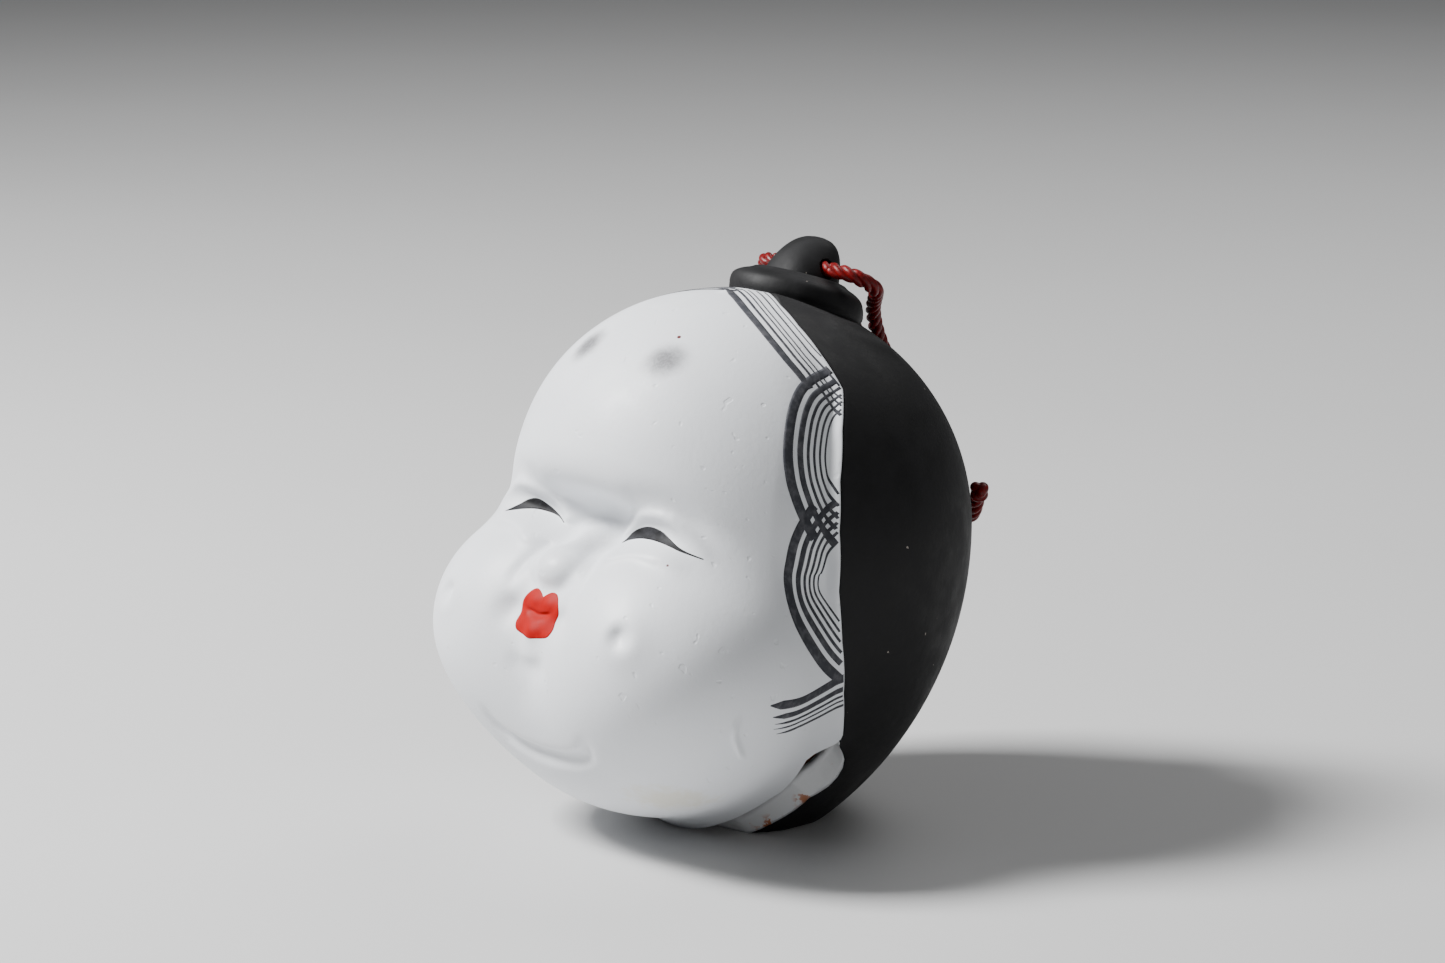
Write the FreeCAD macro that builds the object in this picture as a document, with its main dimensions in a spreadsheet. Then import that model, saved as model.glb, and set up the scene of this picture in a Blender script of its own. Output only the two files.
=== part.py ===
"""Hollow clay bell shaped as a round smiling head, with a rattle pellet and a hanging cord.

The fired clay shell is press-moulded in two halves that meet at an upright seam: the face half
in front and the hair half behind. A slit runs under the chin from jaw to jaw, and its rear edge
carries a raised lip. A two-tier topknot stands on the crown, and a cord passes through it.

Frame: +Z up, the face looks along -Y, +X is the face's own left. The origin is on the table,
under the middle of the head.
"""

import FreeCAD
import Part
import math
import os
import Sketcher
from FreeCAD import Rotation, Vector

# Driving dimensions, in millimetres and degrees.
DIMENSIONS = {
    "head_radius": 30.5,
    "underside_radius": 50.0,
    "centre_height": 39.0,
    "centre_back": 3.5,
    "wall": 3.5,
    "seam_back": -0.8,
    "hollow_wide": 26.0,
    "hollow_deep": 17.0,
    "hollow_tall": 8.0,
    "hollow_ahead": 40.0,
    "hollow_rise": 2.5,
    "brow_wide": 24.2,
    "brow_deep": 23.3,
    "brow_tall": 21.6,
    "brow_ahead": 5.6,
    "brow_rise": 9.0,
    "cheek_round": 18.6,
    "cheek_tall": 16.0,
    "cheek_side": 11.3,
    "cheek_ahead": 19.0,
    "cheek_drop": 12.0,
    "jaw_wide": 26.0,
    "jaw_deep": 18.8,
    "jaw_tall": 17.6,
    "jaw_ahead": 16.5,
    "jaw_drop": 18.2,
    "chin_wide": 8.6,
    "chin_deep": 7.0,
    "chin_tall": 7.4,
    "chin_ahead": 28.4,
    "chin_drop": 17.8,
    "nose_wide": 5.2,
    "nose_deep": 4.0,
    "nose_tall": 3.3,
    "nose_ahead": 28.4,
    "nose_drop": 1.5,
    "lips_wide": 5.6,
    "lips_deep": 4.3,
    "lips_tall": 6.2,
    "lips_ahead": 29.6,
    "lips_drop": 7.8,
    "slit_width": 4.8,
    "slit_top": 14.2,
    "slit_end_radius": 4.2,
    "slit_end_height": 10.6,
    "slit_end_ahead": 0.3,
    "lip_thickness": 1.8,
    "lip_proud": 0.3,
    "knot_tilt": 19.0,
    "knot_seat": 29.8,
    "roll_radius": 8.9,
    "roll_base_radius": 7.4,
    "roll_height": 3.4,
    "bun_base_radius": 5.1,
    "bun_height": 6.0,
    "bun_shoulder_radius": 2.4,
    "cord_hole_radius": 1.35,
    "cord_hole_rise": 1.8,
    "cord_radius": 1.0,
    "cord_mouth": 5.2,
    "cord_knot_radius": 3.1,
    "cord_end_radius": 1.6,
    "pellet_radius": 4.5,
    "pellet_height": 7.9,
}

BIG = 200.0  # larger than the whole bell, for the half-space boxes

# The cord's left half, from the topknot's hole to the knot and on to its cut end, as offsets
# from the head's centre. The right half mirrors it as far as the knot.
LEFT_STRAND = [
    (5.2, 11.4, 33.1),
    (8.8, 11.4, 33.1),
    (9.6, 15.4, 30.8),
    (6.6, 18.2, 29.2),
    (3.4, 20.6, 26.6),
    (1.6, 23.6, 22.0),
    (1.4, 27.0, 16.8),
    (1.3, 30.4, 11.2),
    (1.2, 32.6, 7.0),
]
LEFT_TAIL = [
    (1.2, 33.9, 3.4),
    (3.4, 34.2, 0.4),
    (7.4, 32.8, -1.8),
    (11.8, 30.6, -1.8),
    (15.2, 28.6, -0.2),
    (17.2, 27.0, 2.6),
]
RIGHT_TAIL = [
    (-1.2, 33.9, 3.2),
    (-2.6, 34.2, -1.0),
    (-4.2, 33.6, -5.6),
    (-4.8, 32.6, -10.4),
    (-4.2, 31.6, -15.0),
]
KNOT_CENTRE = (0.0, 33.5, 5.0)
LEFT_END = (18.2, 26.3, 3.4)
RIGHT_END = (-4.0, 31.4, -16.0)


def make_sheet(doc):
    """The spreadsheet that holds every driving dimension under its own alias."""
    sheet = doc.addObject("Spreadsheet::Sheet", "Dims")
    for row, (alias, value) in enumerate(DIMENSIONS.items(), start=1):
        sheet.set(f"A{row}", alias)
        sheet.set(f"B{row}", str(value))
        sheet.setAlias(f"B{row}", alias)
    doc.recompute()
    return sheet


def origin_item(body, role):
    """A plane or axis of a body's own origin, found by its role."""
    return next(item for item in body.Origin.OriginFeatures if item.Role == role)


def new_sketch(body, name, role):
    """An empty sketch on one of the body's own origin planes."""
    sketch = body.newObject("Sketcher::SketchObject", name)
    sketch.AttachmentSupport = (origin_item(body, role), [""])
    sketch.MapMode = "FlatFace"
    return sketch


def bind(item, **expressions):
    """Binds properties to expressions; a double underscore stands for a dot."""
    for path, expression in expressions.items():
        item.setExpression(path.replace("__", "."), expression)


def named(sketch, name, constraint, expression):
    """Adds a named constraint to a sketch and drives it from the sheet."""
    index = sketch.addConstraint(constraint)
    sketch.renameConstraint(index, name)
    sketch.setExpression(f"Constraints.{name}", expression)


def place(item, side, back, up):
    """Binds an item's position to expressions of the sheet."""
    bind(item, Placement__Base__x=side, Placement__Base__y=back, Placement__Base__z=up)


def bowl(doc, size, name, inset, floor):
    """A turned body: a round crown over a tapering underside, cut flat at the floor.

    inset and floor are expressions: how far the profile lies inside the outer skin, and the
    height of its flat bottom.
    """
    body = doc.addObject("PartDesign::Body", name)
    sketch = new_sketch(body, f"{name}_profile", "XZ_Plane")
    gap = {"0": 0.0, "Dims.wall": size.wall}[inset]
    crown = size.head_radius - gap
    under = size.underside_radius - gap
    middle = size.centre_height
    shift = crown - under
    drop = math.asin((middle - gap) / under)
    foot = shift + under * math.cos(drop)
    up = Vector(0, 0, 1)
    sketch.addGeometry(Part.LineSegment(Vector(0, gap, 0), Vector(0, middle + crown, 0)))
    sketch.addGeometry(
        Part.ArcOfCircle(Part.Circle(Vector(0, middle, 0), up, crown), 0, math.pi / 2)
    )
    sketch.addGeometry(
        Part.ArcOfCircle(Part.Circle(Vector(shift, middle, 0), up, under), -drop, 0)
    )
    sketch.addGeometry(Part.LineSegment(Vector(0, gap, 0), Vector(foot, gap, 0)))
    make = Sketcher.Constraint
    sketch.addConstraint(make("Coincident", 0, 1, 3, 1))
    sketch.addConstraint(make("Coincident", 0, 2, 1, 2))
    sketch.addConstraint(make("Coincident", 1, 1, 2, 2))
    sketch.addConstraint(make("Coincident", 2, 1, 3, 2))
    sketch.addConstraint(make("PointOnObject", 0, 1, -2))
    sketch.addConstraint(make("PointOnObject", 1, 3, -2))
    sketch.addConstraint(make("Vertical", 0))
    sketch.addConstraint(make("Horizontal", 3))
    named(sketch, "crown_radius", make("Radius", 1, crown), f"Dims.head_radius - {inset}")
    named(sketch, "under_radius", make("Radius", 2, under), f"Dims.underside_radius - {inset}")
    named(sketch, "crown_middle", make("DistanceY", -1, 1, 1, 3, middle), "Dims.centre_height")
    named(sketch, "under_middle", make("DistanceY", -1, 1, 2, 3, middle), "Dims.centre_height")
    named(sketch, "widest_height", make("DistanceY", -1, 1, 1, 1, middle), "Dims.centre_height")
    named(sketch, "floor_height", make("DistanceY", -1, 1, 0, 1, gap), floor)
    turn = body.newObject("PartDesign::Revolution", f"{name}_turn")
    turn.Profile = sketch
    turn.ReferenceAxis = (origin_item(body, "Z_Axis"), [""])
    turn.Angle = 360.0
    bind(body, Placement__Base__y="Dims.centre_back")
    return body


def ellipsoid(doc, name, wide, deep, tall, side="0", back="0", up="0"):
    """An ellipsoid with its half-axes and place bound to expressions."""
    item = doc.addObject("Part::Ellipsoid", name)
    bind(item, Radius1=tall, Radius2=wide, Radius3=deep)
    place(item, side, back, up)
    return item


def face_lump(doc, name, stem, inset="0", side="0", drop_sign="-"):
    """One rounded swelling of the face, sized and placed by the dimensions that share a stem."""
    rise = "rise" if drop_sign == "+" else "drop"
    return ellipsoid(
        doc,
        name,
        f"Dims.{stem}_wide - {inset}",
        f"Dims.{stem}_deep - {inset}",
        f"Dims.{stem}_tall - {inset}",
        side,
        f"Dims.centre_back - Dims.{stem}_ahead",
        f"Dims.centre_height {drop_sign} Dims.{stem}_{rise}",
    )


def cheek(doc, name, sign, inset):
    """One full round cheek; sign is +1 for the face's left cheek and -1 for its right."""
    return ellipsoid(
        doc,
        name,
        f"Dims.cheek_round - {inset}",
        f"Dims.cheek_round - {inset}",
        f"Dims.cheek_tall - {inset}",
        f"{sign} * Dims.cheek_side",
        "Dims.centre_back - Dims.cheek_ahead",
        "Dims.centre_height - Dims.cheek_drop",
    )


def eye_hollow(doc, name, inset):
    """The shallow hollow across the eyes, between the brow and the cheeks."""
    return ellipsoid(
        doc,
        name,
        f"Dims.hollow_wide + {inset}",
        f"Dims.hollow_deep + {inset}",
        f"Dims.hollow_tall + {inset}",
        back="Dims.centre_back - Dims.hollow_ahead",
        up="Dims.centre_height + Dims.hollow_rise",
    )


def half_box(doc, name, front):
    """A large box that fills the space ahead of the seam, or behind it."""
    box = doc.addObject("Part::Box", name)
    box.Length = box.Width = box.Height = BIG
    back = f"Dims.seam_back - {BIG}" if front else "Dims.seam_back"
    place(box, f"-{BIG / 2}", back, f"-{BIG / 4}")
    return box


def combine(doc, kind, name, shapes):
    """A fuse or common of several shapes."""
    item = doc.addObject(kind, name)
    item.Shapes = shapes
    return item


def cut(doc, name, base, tool):
    """A part with a tool shape taken away."""
    item = doc.addObject("Part::Cut", name)
    item.Base = base
    item.Tool = tool
    return item


def slit_cutters(doc):
    """The sound slit's two tools: a slot under the head from jaw to jaw, and its round ends."""
    slot = doc.addObject("Part::Box", "slit_slot")
    bind(slot, Width="Dims.slit_width + Dims.lip_thickness")
    bind(slot, Height="Dims.slit_top + Dims.wall")
    slot.Length = BIG
    place(
        slot,
        f"-{BIG / 2}",
        "Dims.seam_back - Dims.slit_width - Dims.lip_thickness",
        "-Dims.wall",
    )
    ends = doc.addObject("Part::Cylinder", "slit_end_holes")
    bind(ends, Radius="Dims.slit_end_radius")
    ends.Height = BIG
    ends.Placement.Rotation = Rotation(Vector(0, 1, 0), 90)
    place(
        ends,
        f"-{BIG / 2}",
        "Dims.seam_back - Dims.slit_end_ahead",
        "Dims.slit_end_height",
    )
    return slot, ends


def lip_band(doc, size):
    """The lip along the slit's rear edge: a U-shaped band, padded forward of the seam."""
    body = doc.addObject("PartDesign::Body", "lip_band")
    sketch = new_sketch(body, "lip_band_outline", "XZ_Plane")
    # The band lies in the seam plane, where the underside's section is a little narrower.
    offset = size.centre_back - size.seam_back
    shift = size.head_radius - size.underside_radius

    def side_of(inset, height):
        level = size.centre_height - height
        reach = shift + math.sqrt((size.underside_radius - inset) ** 2 - level**2)
        return math.sqrt(max(reach**2 - offset**2, 1.0))

    top = size.slit_end_height
    outer = [Vector(side_of(-size.lip_proud, z), z, 0) for z in (0, top * 0.45, top)]
    inner = [Vector(side_of(size.wall, z), z, 0) for z in (top, top * 0.6, size.wall)]
    edges = []
    for sign in (1, -1):
        out_side = [Vector(sign * v.x, v.y, 0) for v in outer]
        in_side = [Vector(sign * v.x, v.y, 0) for v in inner]
        edges.append(Part.Arc(*out_side))
        edges.append(Part.LineSegment(out_side[2], in_side[0]))
        edges.append(Part.Arc(*in_side))
    edges.append(Part.LineSegment(Vector(-inner[2].x, size.wall, 0), inner[2]))
    edges.append(Part.LineSegment(Vector(-outer[0].x, 0, 0), outer[0]))
    sketch.addGeometry(edges, False)
    for index in range(len(edges)):
        sketch.addConstraint(Sketcher.Constraint("Block", index))
    pad = body.newObject("PartDesign::Pad", "lip_band_pad")
    pad.Profile = sketch
    bind(pad, Length="Dims.lip_thickness")
    bind(body, Placement__Base__y="Dims.seam_back")
    return body


def knot_seat_cutter(doc):
    """The flat on the crown that the topknot is luted to."""
    box = doc.addObject("Part::Box", "knot_seat_cutter")
    box.Length = box.Width = box.Height = BIG
    tilt = Rotation(Vector(1, 0, 0), -DIMENSIONS["knot_tilt"])
    box.Placement.Rotation = tilt
    half = BIG / 2
    lean = "Dims.knot_tilt * 1 deg"
    place(
        box,
        f"-{half}",
        f"Dims.centre_back + Dims.knot_seat * sin({lean}) - {half} * cos({lean})",
        f"Dims.centre_height + Dims.knot_seat * cos({lean}) + {half} * sin({lean})",
    )
    return box


def shells(doc, size):
    """The fired clay halves, face_shell in front and back_shell behind, and the slit's lip."""
    skin = bowl(doc, size, "head_skin", "0", "0")
    hollow = bowl(doc, size, "head_cavity", "Dims.wall", "Dims.wall")
    front = half_box(doc, "front_half", True)
    front_only = half_box(doc, "front_half_inside", True)
    seat = knot_seat_cutter(doc)
    slot, ends = slit_cutters(doc)
    slit = combine(doc, "Part::MultiFuse", "slit_cutter", [slot, ends])

    base = cut(doc, "skin_with_eye_hollow", skin, eye_hollow(doc, "eye_hollow", "0"))
    lumps = [
        face_lump(doc, "brow_lump", "brow", drop_sign="+"),
        cheek(doc, "cheek_left_lump", 1, "0"),
        cheek(doc, "cheek_right_lump", -1, "0"),
        face_lump(doc, "jaw_lump", "jaw"),
        face_lump(doc, "chin_lump", "chin"),
        face_lump(doc, "nose_lump", "nose"),
        face_lump(doc, "lips_lump", "lips"),
    ]
    outside = combine(doc, "Part::MultiFuse", "face_outside", [base, *lumps])
    face_solid = combine(doc, "Part::MultiCommon", "face_solid", [outside, front])

    room = cut(
        doc, "cavity_with_eye_hollow", hollow, eye_hollow(doc, "eye_hollow_in", "Dims.wall")
    )
    rooms = [
        cheek(doc, "cheek_left_room", 1, "Dims.wall"),
        cheek(doc, "cheek_right_room", -1, "Dims.wall"),
        face_lump(doc, "jaw_room", "jaw", "Dims.wall"),
    ]
    inside = combine(doc, "Part::MultiFuse", "face_inside", [room, *rooms])
    face_room = combine(doc, "Part::MultiCommon", "face_room", [inside, front_only])
    above = doc.addObject("Part::Box", "above_floor")
    above.Length = above.Width = above.Height = BIG
    place(above, f"-{BIG / 2}", f"-{BIG / 2}", "0")
    grounded = combine(doc, "Part::MultiCommon", "face_grounded", [face_solid, above])
    hollowed = cut(doc, "face_hollowed", grounded, face_room)
    seated = cut(doc, "face_seated", hollowed, seat)
    face = cut(doc, "face_shell", seated, slit)
    face.Label = "face_shell"

    back_half = half_box(doc, "back_half", False)
    back_solid = combine(doc, "Part::MultiCommon", "back_solid", [skin, back_half])
    back_hollowed = cut(doc, "back_hollowed", back_solid, hollow)
    back_seated = cut(doc, "back_seated", back_hollowed, seat)
    back = cut(doc, "back_shell", back_seated, slit)
    back.Label = "back_shell"
    lip = cut(doc, "slit_lip", lip_band(doc, size), ends)
    lip.Label = "slit_lip"
    return [face, back, lip]


def turned(doc, name, profile, seat):
    """A body turned about the topknot's axis from a closed profile of (radius, height) edges."""
    body = doc.addObject("PartDesign::Body", name)
    sketch = new_sketch(body, f"{name}_profile", "YZ_Plane")
    sketch.addGeometry(profile, False)
    for index in range(len(profile)):
        sketch.addConstraint(Sketcher.Constraint("Block", index))
    turn = body.newObject("PartDesign::Revolution", f"{name}_turn")
    turn.Profile = sketch
    turn.ReferenceAxis = (origin_item(body, "Z_Axis"), [""])
    turn.Angle = 360.0
    body.Placement.Rotation = Rotation(Vector(1, 0, 0), -DIMENSIONS["knot_tilt"])
    lean = "Dims.knot_tilt * 1 deg"
    place(
        body,
        "0",
        f"Dims.centre_back + ({seat}) * sin({lean})",
        f"Dims.centre_height + ({seat}) * cos({lean})",
    )
    return body


def topknot_roll(doc, size):
    """The lower tier: a flattened roll of hair with a round rim."""
    foot = size.roll_base_radius
    height = size.roll_height
    profile = [
        Part.LineSegment(Vector(0, 0, 0), Vector(foot, 0, 0)),
        Part.Arc(
            Vector(foot, 0, 0), Vector(size.roll_radius, height / 2, 0), Vector(foot, height, 0)
        ),
        Part.LineSegment(Vector(foot, height, 0), Vector(0, height, 0)),
        Part.LineSegment(Vector(0, height, 0), Vector(0, 0, 0)),
    ]
    return turned(doc, "topknot_roll", profile, "Dims.knot_seat")


def topknot_bun(doc, size):
    """The upper tier: a small rounded cone with the cord's hole through it from side to side."""
    foot = size.bun_base_radius
    shoulder = size.bun_shoulder_radius
    height = size.bun_height
    rise = size.cord_hole_rise
    shoulder_height = height - 0.8
    crown = 0.5
    profile = [
        Part.LineSegment(Vector(0, 0, 0), Vector(foot, 0, 0)),
        Part.Arc(
            Vector(foot, 0, 0),
            Vector(foot * 0.9, height / 2, 0),
            Vector(shoulder, shoulder_height, 0),
        ),
        Part.Arc(
            Vector(shoulder, shoulder_height, 0),
            Vector((shoulder + crown) / 2, height - 0.25, 0),
            Vector(crown, height, 0),
        ),
        Part.LineSegment(Vector(crown, height, 0), Vector(0, height, 0)),
        Part.LineSegment(Vector(0, height, 0), Vector(0, 0, 0)),
    ]
    body = turned(doc, "topknot_bun", profile, "Dims.knot_seat + Dims.roll_height")
    doc.recompute()
    sketch = new_sketch(body, "cord_hole_outline", "YZ_Plane")
    sketch.addGeometry(
        Part.Circle(Vector(0, rise, 0), Vector(0, 0, 1), size.cord_hole_radius), False
    )
    sketch.addConstraint(Sketcher.Constraint("PointOnObject", 0, 3, -2))
    make = Sketcher.Constraint
    named(sketch, "hole_rise", make("DistanceY", -1, 1, 0, 3, rise), "Dims.cord_hole_rise")
    named(sketch, "hole_radius", make("Radius", 0, size.cord_hole_radius), "Dims.cord_hole_radius")
    pocket = body.newObject("PartDesign::Pocket", "cord_hole")
    pocket.Profile = sketch
    pocket.Type = "ThroughAll"
    pocket.Midplane = True
    return body


def rattle_pellet(doc):
    """The loose clay ball inside the head, resting over the slit."""
    ball = doc.addObject("Part::Sphere", "rattle_pellet")
    bind(ball, Radius="Dims.pellet_radius")
    place(
        ball,
        "0",
        "Dims.seam_back - Dims.lip_thickness - Dims.slit_width / 2",
        "Dims.pellet_height",
    )
    return ball


def cord_hole_centre(size):
    """Where the hole's axis crosses the middle plane."""
    lean = math.radians(size.knot_tilt)
    reach = size.knot_seat + size.roll_height + size.cord_hole_rise
    return Vector(
        0,
        size.centre_back + reach * math.sin(lean),
        size.centre_height + reach * math.cos(lean),
    )


def cord_in_bun(doc):
    """The straight stretch of cord inside the topknot's hole."""
    core = doc.addObject("Part::Cylinder", "cord_in_bun")
    bind(core, Radius="Dims.cord_radius", Height="2 * Dims.cord_mouth")
    core.Placement.Rotation = Rotation(Vector(0, 1, 0), 90)
    reach = "(Dims.knot_seat + Dims.roll_height + Dims.cord_hole_rise)"
    lean = "Dims.knot_tilt * 1 deg"
    place(
        core,
        "-Dims.cord_mouth",
        f"Dims.centre_back + {reach} * sin({lean})",
        f"Dims.centre_height + {reach} * cos({lean})",
    )
    return core


def route_in_frame(size, points, mirror=1):
    """A cord route's points in the part's frame, from offsets about the head's centre."""
    return [
        Vector(mirror * x, size.centre_back + y, size.centre_height + z) for x, y, z in points
    ]


def rounded_path(name, points):
    """Straight runs joined by tangent arcs, each as large as its two runs allow."""
    edges = []
    start = points[0]
    radii = []
    for before, corner, after in zip(points, points[1:], points[2:]):
        inward = (before - corner).normalize()
        outward = (after - corner).normalize()
        half_turn = (math.pi - inward.getAngle(outward)) / 2
        reach = 0.45 * min((before - corner).Length, (after - corner).Length)
        radius = reach / math.tan(half_turn)
        radii.append(radius)
        first = corner + inward * reach
        last = corner + outward * reach
        towards = (inward + outward).normalize()
        middle = corner + towards * (radius / math.cos(half_turn) - radius)
        edges.append(Part.LineSegment(start, first).toShape())
        edges.append(Part.Arc(first, middle, last).toShape())
        start = last
    edges.append(Part.LineSegment(start, points[-1]).toShape())
    print(name, "arc radii", [round(r, 1) for r in radii])
    return Part.Wire(edges)


def cord_tube(doc, size, name, points):
    """One free stretch of the cord as a plain round tube along its route."""
    path = rounded_path(name, points)
    along = (points[1] - points[0]).normalize()
    circle = Part.Wire(Part.Circle(points[0], along, size.cord_radius).toShape())
    tube = path.makePipeShell([circle], True, False)
    if tube.Volume < 0:
        tube.reverse()
    expected = math.pi * size.cord_radius**2 * path.Length
    print(name, "length", round(path.Length, 2), "volume share", round(tube.Volume / expected, 4))
    item = doc.addObject("Part::Feature", name)
    item.Shape = tube
    return item


def end_knot(doc, name, centre):
    """The small stopper knot that keeps a tail's end from fraying."""
    ball = doc.addObject("Part::Sphere", name)
    bind(ball, Radius="Dims.cord_end_radius")
    place(
        ball,
        f"{centre[0]}",
        f"Dims.centre_back + {centre[1]}",
        f"Dims.centre_height + {centre[2]}",
    )
    return ball


def cord_parts(doc, size):
    """The cord: its straight core, two strands down to the knot, the knot, two tails, their ends."""
    knot = ellipsoid(
        doc,
        "cord_knot",
        "Dims.cord_knot_radius * 1.15",
        "Dims.cord_knot_radius * 0.95",
        "Dims.cord_knot_radius * 0.9",
        side=f"{KNOT_CENTRE[0]}",
        back=f"Dims.centre_back + {KNOT_CENTRE[1]}",
        up=f"Dims.centre_height + {KNOT_CENTRE[2]}",
    )
    mouth = cord_hole_centre(size)
    strands = []
    for side, mirror in (("left", 1), ("right", -1)):
        points = route_in_frame(size, LEFT_STRAND, mirror)
        points[0] = mouth + Vector(mirror * size.cord_mouth, 0, 0)
        points[1].y, points[1].z = mouth.y, mouth.z
        strands.append(cord_tube(doc, size, f"cord_strand_{side}", points))
    tails = [
        cord_tube(doc, size, "cord_tail_left", route_in_frame(size, LEFT_TAIL)),
        cord_tube(doc, size, "cord_tail_right", route_in_frame(size, RIGHT_TAIL)),
    ]
    ends = [
        end_knot(doc, "cord_end_left", LEFT_END),
        end_knot(doc, "cord_end_right", RIGHT_END),
    ]
    return [cord_in_bun(doc), *strands, knot, *tails, *ends]


def check(doc, parts):
    """Stops the macro if any object failed, or a sub-part has no sound solid."""
    for item in doc.Objects:
        if "Invalid" in item.State or "Error" in item.State:
            raise RuntimeError(f"{item.Name} failed to recompute: {item.State}")
    for item in parts:
        shape = item.Shape
        if shape.isNull() or not shape.isValid() or not shape.Solids:
            raise RuntimeError(f"{item.Label} has no valid solid")


def main():
    doc = FreeCAD.newDocument("clay_bell")
    size = make_sheet(doc)
    parts = [
        *shells(doc, size),
        topknot_roll(doc, size),
        topknot_bun(doc, size),
        rattle_pellet(doc),
        *cord_parts(doc, size),
    ]
    doc.recompute()
    check(doc, parts)
    os.makedirs("parts", exist_ok=True)
    for item in parts:
        item.Shape.exportStep(os.path.join("parts", f"{item.Label}.step"))
        box = item.Shape.BoundBox
        print(
            f"{item.Label}: volume {item.Shape.Volume:.1f}, solids {len(item.Shape.Solids)},",
            f"X {box.XMin:.2f}..{box.XMax:.2f}, Y {box.YMin:.2f}..{box.YMax:.2f},",
            f"Z {box.ZMin:.2f}..{box.ZMax:.2f}",
        )


main()
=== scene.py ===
"""Painted clay bell in the shape of a smiling head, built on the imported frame.

Lengths in the modelling functions are millimetres, measured from the middle of the head, with
x to the face's own left, y to the back and z up. They become metres when a mesh is made.
"""

import math

import bmesh
import bpy
import numpy as np
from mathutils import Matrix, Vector


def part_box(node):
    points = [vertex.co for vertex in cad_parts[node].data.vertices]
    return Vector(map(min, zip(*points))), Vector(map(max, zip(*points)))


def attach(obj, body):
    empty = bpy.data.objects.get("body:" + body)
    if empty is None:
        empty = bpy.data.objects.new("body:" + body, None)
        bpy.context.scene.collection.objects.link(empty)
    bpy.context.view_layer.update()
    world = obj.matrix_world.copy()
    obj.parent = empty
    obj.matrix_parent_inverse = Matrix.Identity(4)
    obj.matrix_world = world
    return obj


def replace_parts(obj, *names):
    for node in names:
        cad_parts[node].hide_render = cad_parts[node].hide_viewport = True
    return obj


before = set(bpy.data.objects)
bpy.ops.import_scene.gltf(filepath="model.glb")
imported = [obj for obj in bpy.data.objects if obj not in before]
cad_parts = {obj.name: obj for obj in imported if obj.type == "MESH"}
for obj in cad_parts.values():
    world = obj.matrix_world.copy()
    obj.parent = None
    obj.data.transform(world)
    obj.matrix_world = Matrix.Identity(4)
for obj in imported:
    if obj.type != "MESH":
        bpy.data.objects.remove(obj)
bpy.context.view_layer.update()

MM = 0.001
HEAD_CENTRE = np.array([0.0, 3.5, 39.0])

# Camera.
VIEW_AZIMUTH = 48.0
VIEW_ELEVATION = 12.0
CAMERA_DISTANCE = 553.0
CAMERA_LENS = 104.6
CAMERA_TARGET = (-2.39, 2.55, 44.34)

# Head.
CROWN_RADIUS = 30.5
UNDERSIDE_RADIUS = 50.0
FLOOR = -39.0
WALL = 3.5
HAIR_STEP_WIDTH = 1.5

# Topknot.
KNOT_TILT = math.radians(19.0)
KNOT_SEAT = 29.8


# ---------------------------------------------------------------- head surface


def smooth_min(a, b, k):
    """The lesser of two distances, rounded over a band k wide."""
    h = np.clip(0.5 + 0.5 * (b - a) / k, 0.0, 1.0)
    return b * (1.0 - h) + a * h - k * h * (1.0 - h)


def smooth_max(a, b, k):
    """The greater of two distances, rounded over a band k wide."""
    return -smooth_min(-a, -b, k)


def ease(t):
    """A smooth step from 0 to 1 as t goes from 0 to 1."""
    t = np.clip(t, 0.0, 1.0)
    return t * t * (3.0 - 2.0 * t)


def ellipsoid(p, centre, semi):
    """The signed distance, nearly, from an ellipsoid."""
    q = (p - np.array(centre)) / np.array(semi)
    k0 = np.linalg.norm(q, axis=-1)
    k1 = np.linalg.norm(q / np.array(semi), axis=-1)
    return k0 * (k0 - 1.0) / np.maximum(k1, 1e-9)


def bowl_distance(p):
    """The distance from the plain head: a round crown over a tapering underside."""
    rho = np.hypot(p[..., 0], p[..., 1])
    z = p[..., 2]
    crown = np.hypot(rho, z) - CROWN_RADIUS
    under = np.hypot(rho + UNDERSIDE_RADIUS - CROWN_RADIUS, z) - UNDERSIDE_RADIUS
    return np.where(z > 0.0, crown, under)


MIDDLE_BLEND = 1.3


def one_side(p):
    """The same points with every x positive, and no crease where the two sides meet."""
    return np.stack([np.sqrt(p[..., 0] ** 2 + MIDDLE_BLEND**2), p[..., 1], p[..., 2]], axis=-1)


def face_distance(p):
    """The distance from the face's outer skin: brow, eye hollow, cheeks, nose, muzzle, chin."""
    mirrored = one_side(p)
    skin = bowl_distance(p)
    skin = smooth_min(skin, ellipsoid(p, (0, -5.6, 9.0), (24.2, 23.3, 21.6)), 4.0)
    skin = smooth_max(skin, -ellipsoid(p, (0, -40.0, 2.5), (26.0, 18.4, 8.2)), 5.0)
    cheek = ellipsoid(mirrored, (11.3, -19.0, -12.0), (18.6, 18.6, 16.0))
    jaw = ellipsoid(p, (0, -16.5, -18.2), (26.0, 18.8, 17.6))
    muzzle = ellipsoid(p, (0, -29.6, -7.8), (5.6, 4.3, 6.2))
    chin = ellipsoid(p, (0, -28.4, -17.8), (8.6, 7.0, 7.4))
    nose = ellipsoid(p, (0, -29.0, -1.7), (4.4, 4.5, 3.2))
    wing = ellipsoid(mirrored, (4.2, -28.4, -2.5), (2.1, 3.3, 2.0))
    bridge = ellipsoid(p, (0, -23.4, 0.2), (4.8, 3.0, 3.0))
    lower = smooth_min(cheek, jaw, 5.0)
    lower = smooth_min(lower, smooth_min(muzzle, chin, 1.2), 1.0)
    skin = smooth_min(skin, lower, 4.5)
    skin = smooth_min(skin, smooth_min(smooth_min(nose, wing, 1.3), bridge, 3.4), 1.0)
    return skin


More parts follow.
